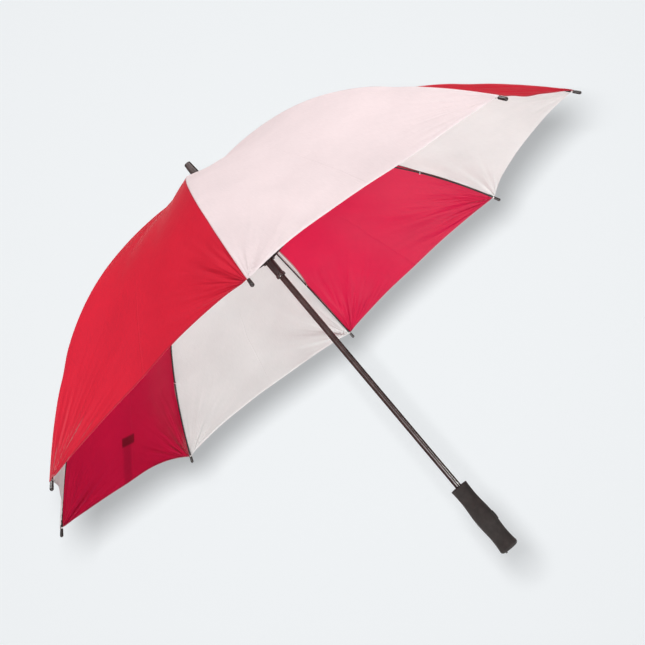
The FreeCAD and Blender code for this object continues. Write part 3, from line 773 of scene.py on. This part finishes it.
SEAM_WIDTH = 2.6 * MM
SEAM_HEIGHT = 0.5 * MM
SEAM_SLOPE = 0.38
SEAM_THICKNESS = 0.5 * MM
ALLOWANCE_WIDTH = 2.4 * MM
ALLOWANCE_DROP = 0.9 * MM
ALLOWANCE_SLOPE = 0.3
ALLOWANCE_THICKNESS = 0.25 * MM
ALLOWANCE_START = 30 * MM
STRIP_ROWS = 60


def strip_lengths(part, top, rim_gap):
    """Arc lengths down a strip above or below the stretcher joint, as a column."""
    upper, lower = (top, INNER_LENGTH), (INNER_LENGTH, RIM_LENGTH - rim_gap)
    return np.linspace(*(upper if part == "upper" else lower), STRIP_ROWS)[:, None]


def cloth_strip(name, rib, part, length, side, lift, thickness, cloth):
    """A narrow strip of cloth along a rib's seam, clear of the painted seam and rim shade."""
    points = rib_space(rib, length, lift, side + seam_drift(rib, length))
    normals = np.cross(np.gradient(points, axis=0), np.gradient(points, axis=1))
    normals /= np.linalg.norm(normals, axis=-1, keepdims=True)
    coords = np.stack([side, length], axis=-1)
    marks = {"to_seam": np.full(length.shape, FAR), "to_rim": np.full(length.shape, FAR)}
    strip = sheet(name, points, normals, coords, thickness, cloth, marks)
    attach(strip, rides_on(rib, part))


def seam_strip(rib, part):
    """The felled seam over a rib: a narrow doubled strip of cloth, proud of both panels."""
    lengths = strip_lengths(part, CLOTH_START, MM)
    across = np.linspace(-1, 1, 7)[None, :]
    side = np.minimum(SEAM_WIDTH / 2, 0.3 * rib_plane_point(lengths, 0.0)[0]) * across
    length = lengths + 0 * across
    lift = seam_lift(length) + SEAM_HEIGHT * (1 - across**2) - SEAM_SLOPE * np.abs(side)
    cloth, slot = (RED, "canopy_red") if rib == 1 else (WHITE, "canopy_white")
    name = f"seam_{rib}_{part}"
    cloth_strip(name, rib, part, length, side, lift, SEAM_THICKNESS, cloth)


def under_seam(rib, part):
    """The seam allowance inside the canopy: a narrow ridge of cloth under the seam."""
    lengths = strip_lengths(part, ALLOWANCE_START, 2 * MM)
    across = np.linspace(-1, 1, 5)[None, :]
    length = lengths + 0 * across
    side = ALLOWANCE_WIDTH / 2 * across + 0 * length
    drop = CLOTH_THICKNESS + ALLOWANCE_DROP - ALLOWANCE_SLOPE * np.abs(side)
    lift = seam_lift(length) - drop
    name = f"seam_allowance_{rib}_{part}"
    cloth_strip(name, rib, part, length, side, lift, ALLOWANCE_THICKNESS, TAPE)


THREAD_RADIUS = 0.32 * MM
THREAD_LOOP = 1.95 * MM
THREAD_SPREAD = 1.8 * MM
THREAD_SUNK = 0.3 * MM
THREAD_TURNS = 3
THREAD_STEPS = 20


def tie_thread(rib):
    """The thread that ties the seam to the rib: three turns round the rib and up into the seam."""
    along, through = rib_direction(rib, TIE_LENGTH)
    across = rib_frame(rib)[1]
    centre = rib_space(rib, TIE_LENGTH, 0.0)
    lift = float(seam_lift(TIE_LENGTH))
    path = []
    count = THREAD_TURNS * THREAD_STEPS
    for i in range(count + 1):
        a = math.tau * i / THREAD_STEPS
        shift = (i / count - 0.5) * THREAD_SPREAD
        ring = across * math.cos(a) * THREAD_LOOP
        height = math.sin(a) * (THREAD_LOOP if math.sin(a) < 0 else lift - THREAD_SUNK)
        path.append(centre + ring + through * height + along * shift)
    thread = tube(f"tie_thread_{rib}", path, THREAD_RADIUS, CORD, sides=8)
    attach(thread, rides_on(rib, "lower"))


SLEEVE_ROWS = 9
SLEEVE_SIDES = 18
SLEEVE_EASE = 0.35 * MM
# Each sleeve: how far its two ends are from the cap, and its radius.
TIP_CLIP = (13 * MM, 3.6 * MM, 2.1 * MM)
TIP_BINDING = (3.4 * MM, 0.2 * MM, 2.15 * MM)


def rib_sleeve(name, rib, sizes, material):
    """A short turned sleeve round a rib below its cap, with eased ends."""
    far, near, radius = sizes
    start, stop = RIB_LENGTH - CAP_LENGTH - far, RIB_LENGTH - CAP_LENGTH - near
    across = rib_frame(rib)[1]
    rings = []
    for length in np.linspace(start, stop, SLEEVE_ROWS):
        through = rib_direction(rib, length)[1]
        centre = rib_space(rib, length, 0.0)
        end = min(length - start, stop - length)
        reach = radius - SLEEVE_EASE * max(0.0, 1 - end / SLEEVE_EASE)
        rings.append(ring_of_points(centre, across, through, reach, SLEEVE_SIDES))
    sleeve = round_body(f"{name}_{rib}", rings, material)
    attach(sleeve, rides_on(rib, "lower"))


def tip_fittings(rib):
    """The clip that stops the cap, and the binding thread that holds the cloth's corner to it."""
    rib_sleeve("tip_clip", rib, TIP_CLIP, PLASTIC)
    rib_sleeve("tip_binding", rib, TIP_BINDING, CORD)


for rib in range(1, RIBS + 1):
    for part in ("upper", "lower"):
        seam_strip(rib, part)
        under_seam(rib, part)
    tie_thread(rib)
    tip_fittings(rib)

# ---------------------------------------------------------------- stage, light and camera

PALE = (0.863, 0.888, 0.905)
AZIMUTH_SHIFT = math.radians(3.34)
CAMERA_PITCH = math.radians(-7.79)
CAMERA_ROLL = math.radians(-40.06)
CAMERA_DISTANCE = 2.3206
CAMERA_AIM = Vector((0.00276, 0.0, 0.54884))
CAMERA_LENS = 68.05
SENSOR_WIDTH = 36.0

WORLD_FILL = 0.21
WORLD_BEHIND = 0.042
WORLD_EDGE = (-0.45, 0.35)
WALL_DISTANCE = 5.7
WALL_HALF = 7.0
WALL_FADE = (0.80, 0.90)
FLOOR_HALF = 6.0
FLOOR_FADE = (0.21, 0.28)
FLOOR_DROP = 0.002
PAPER_TONE = 0.66
WALL_GLOW = 0.406
WALL_LAMP = 29.6
FLOOR_GLOW = 0.43
FLOOR_SUN = 2.5
SHADOW_SHIFT = (0.050, 0.050)
SHADOW_BLUR = 0.055
SPOT_WIDTH = 60.0
SPOT_BLEND = 0.1
FLOOR_SUN_WAY = (0.25, 0.35, -1)
FLOOR_SUN_WIDTH = 12.0
SHAFT_SIDE = (-0.76, -0.65)
# Each sun: the way towards it, its strength and its width in degrees.
SUNS = {
    "inside": ((-0.60, -0.70, -0.35), 0.955, 25.0),
    "above": ((0.0, -0.5, 0.87), 2.40, 25.0),
    "camera_side": ((0.05, -1.0, -0.1), 0.26, 25.0),
    "right": ((0.6, -0.7, -0.3), 0.14, 25.0),
    "right_above": ((0.7, -0.35, 0.6), 1.39, 25.0),
    "below": ((-0.2, -0.3, -0.93), 2.35, 25.0),
}
# Each glint: degrees from the camera towards the side of the shaft, strength and width.
GLINTS = {"glint": (20.0, 4.6, 7.0), "second_glint": (-52.0, 1.6, 6.0)}


def camera_axes():
    """Right, up and backward unit vectors of the camera in the frame."""
    turn = Matrix.Rotation(AZIMUTH_SHIFT, 3, "Z")
    back = Vector((0, -math.cos(CAMERA_PITCH), math.sin(CAMERA_PITCH)))
    level_right = Vector((1, 0, 0))
    level_up = level_right.cross(-back)
    right = level_right * math.cos(CAMERA_ROLL) + level_up * math.sin(CAMERA_ROLL)
    up = level_up * math.cos(CAMERA_ROLL) - level_right * math.sin(CAMERA_ROLL)
    return turn @ right, turn @ up, turn @ back


def make_camera():
    """The camera, leaning so that the shaft runs across the picture."""
    right, up, back = camera_axes()
    data = bpy.data.cameras.new("camera")
    data.lens = CAMERA_LENS
    data.sensor_width = SENSOR_WIDTH
    camera = add_object("camera", data)
    place = Matrix.Rotation(AZIMUTH_SHIFT, 3, "Z") @ CAMERA_AIM + back * CAMERA_DISTANCE
    basis = Matrix((right, up, back)).transposed().to_4x4()
    camera.matrix_world = Matrix.Translation(place) @ basis
    bpy.context.scene.camera = camera


def stage_material(name, colour, glow, visible_from, visible_to):
    """A matt, slightly glowing stage surface that fades out at a glancing angle and from behind."""
    n = Nodes(name)
    geometry = n.add("ShaderNodeNewGeometry")
    ways = {0: geometry.outputs["Incoming"], 1: geometry.outputs["True Normal"]}
    facing = n.add("ShaderNodeVectorMath", ways, operation="DOT_PRODUCT")
    solid = n.ramp(n.math("ABSOLUTE", facing.outputs["Value"]), visible_from, visible_to)
    front = n.math("SUBTRACT", 1.0, geometry.outputs["Backfacing"])
    amount = n.math("MULTIPLY", solid, front, clamp=True)
    camera_ray = n.add("ShaderNodeLightPath").outputs["Is Camera Ray"]
    amount = n.product(amount, camera_ray)
    matt = n.add("ShaderNodeBsdfDiffuse", {"Color": colour})
    lift = n.add("ShaderNodeEmission", {"Color": rgb(*PALE), "Strength": glow})
    paper = n.add("ShaderNodeAddShader", {0: matt.outputs[0], 1: lift.outputs[0]})
    clear = n.add("ShaderNodeBsdfTransparent")
    blend = n.add("ShaderNodeMixShader", {0: amount, 1: clear.outputs[0], 2: paper.outputs[0]})
    return n.surface(blend.outputs[0])


def stage_plane(name, centre, right, up, half, material):
    """A square of the stage, reaching half to each side of its centre."""
    corners = [
        centre - right * half - up * half,
        centre + right * half - up * half,
        centre + right * half + up * half,
        centre - right * half + up * half,
    ]
    plane = new_object(name, corners, [(0, 1, 2, 3)], material, smooth=False)
    return plane


def aim_lamp(lamp, direction):
    """Turn a lamp so that it shines along a direction."""
    lamp.rotation_mode = "QUATERNION"
    lamp.rotation_quaternion = direction.to_track_quat("-Z", "Y")


def sun(name, direction, strength, angle):
    """A sun whose light travels along direction."""
    data = bpy.data.lights.new(name, "SUN")
    data.energy = strength
    data.angle = math.radians(angle)
    light = add_object(name, data)
    aim_lamp(light, direction)
    return light


def link_light(light, objects, state):
    """Limit a light to the given objects, or keep it off them."""
    group = bpy.data.collections.new(light.name + "_receivers")
    for obj in objects:
        group.objects.link(obj)
    light.light_linking.receiver_collection = group
    for entry in group.collection_objects:
        entry.light_linking.link_state = state


def make_world(visible, front, behind, toward_camera):
    """A plain pale surround for the camera, which lights the scene mostly from its side."""
    world = bpy.data.worlds.new("studio")
    bpy.context.scene.world = world
    world.use_nodes = True
    tree = world.node_tree
    tree.nodes.clear()
    path = tree.nodes.new("ShaderNodeLightPath")
    seen = tree.nodes.new("ShaderNodeBackground")
    seen.inputs["Color"].default_value = rgb(*visible)
    place = tree.nodes.new("ShaderNodeTexCoord")
    side = tree.nodes.new("ShaderNodeVectorMath")
    side.operation = "DOT_PRODUCT"
    side.inputs[1].default_value = toward_camera
    tree.links.new(place.outputs["Generated"], side.inputs[0])
    level = tree.nodes.new("ShaderNodeMapRange")
    level.interpolation_type = "SMOOTHSTEP"
    values = zip(("From Min", "From Max", "To Min", "To Max"), (*WORLD_EDGE, behind, front))
    for socket, value in values:
        level.inputs[socket].default_value = value
    tree.links.new(side.outputs["Value"], level.inputs["Value"])
    lit = tree.nodes.new("ShaderNodeBackground")
    tree.links.new(level.outputs[0], lit.inputs["Strength"])
    blend = tree.nodes.new("ShaderNodeMixShader")
    output = tree.nodes.new("ShaderNodeOutputWorld")
    tree.links.new(path.outputs["Is Camera Ray"], blend.inputs[0])
    tree.links.new(lit.outputs[0], blend.inputs[1])
    tree.links.new(seen.outputs[0], blend.inputs[2])
    tree.links.new(blend.outputs[0], output.inputs["Surface"])


def steady_spot(name, place, target, strength, radius):
    """A small lamp whose light doesn't weaken with distance, so the backdrop is lit evenly."""
    data = bpy.data.lights.new(name, "SPOT")
    data.energy = strength
    data.shadow_soft_size = radius
    data.spot_size = math.radians(SPOT_WIDTH)
    data.spot_blend = SPOT_BLEND
    data.use_nodes = True
    tree = data.node_tree
    emission = tree.nodes["Emission"]
    falloff = tree.nodes.new("ShaderNodeLightFalloff")
    falloff.inputs["Strength"].default_value = 1.0
    tree.links.new(falloff.outputs["Constant"], emission.inputs["Strength"])
    lamp = add_object(name, data)
    lamp.location = place
    aim_lamp(lamp, target - place)
    return lamp


def make_stage():
    """The pale surround, backdrop and floor, and all the lamps."""
    right, up, back = camera_axes()
    aim = Matrix.Rotation(AZIMUTH_SHIFT, 3, "Z") @ CAMERA_AIM
    make_world(PALE, WORLD_FILL, WORLD_BEHIND, back)
    paper = rgb(*(c * PAPER_TONE for c in PALE))
    wall_look = stage_material("backdrop_paper", paper, WALL_GLOW, *WALL_FADE)
    wall = stage_plane("backdrop", aim - back * WALL_DISTANCE, right, up, WALL_HALF, wall_look)
    floor_look = stage_material("floor_paper", paper, FLOOR_GLOW, *FLOOR_FADE)
    level = Vector((0, 0, -FLOOR_DROP)), Vector((1, 0, 0)), Vector((0, 1, 0))
    floor = stage_plane("floor", *level, FLOOR_HALF, floor_look)
    camera_place = aim + back * CAMERA_DISTANCE
    lamp_place = camera_place - right * SHADOW_SHIFT[0] + up * SHADOW_SHIFT[1]
    cast = steady_spot("backdrop_lamp", lamp_place, aim, WALL_LAMP, SHADOW_BLUR)
    link_light(cast, [wall], "INCLUDE")
    down = sun("floor_sun", Vector(FLOOR_SUN_WAY).normalized(), FLOOR_SUN, FLOOR_SUN_WIDTH)
    link_light(down, [floor], "INCLUDE")
    glossy = [frame["nodes"][name] for name in ("shaft", "runner", "ferrule")]
    beside = right * SHAFT_SIDE[0] + up * SHAFT_SIDE[1]
    for name, (degrees, strength, angle) in GLINTS.items():
        turn = math.radians(degrees)
        toward = back * math.cos(turn) + beside * math.sin(turn)
        link_light(sun(name, -toward, strength, angle), glossy, "INCLUDE")
    for name, (toward, strength, angle) in SUNS.items():
        lamp = sun(name, -Vector(toward).normalized(), strength, angle)
        link_light(lamp, [wall, floor], "EXCLUDE")


make_camera()
make_stage()
bpy.context.scene.view_settings.view_transform = "Standard"
bpy.context.scene.view_settings.look = "None"
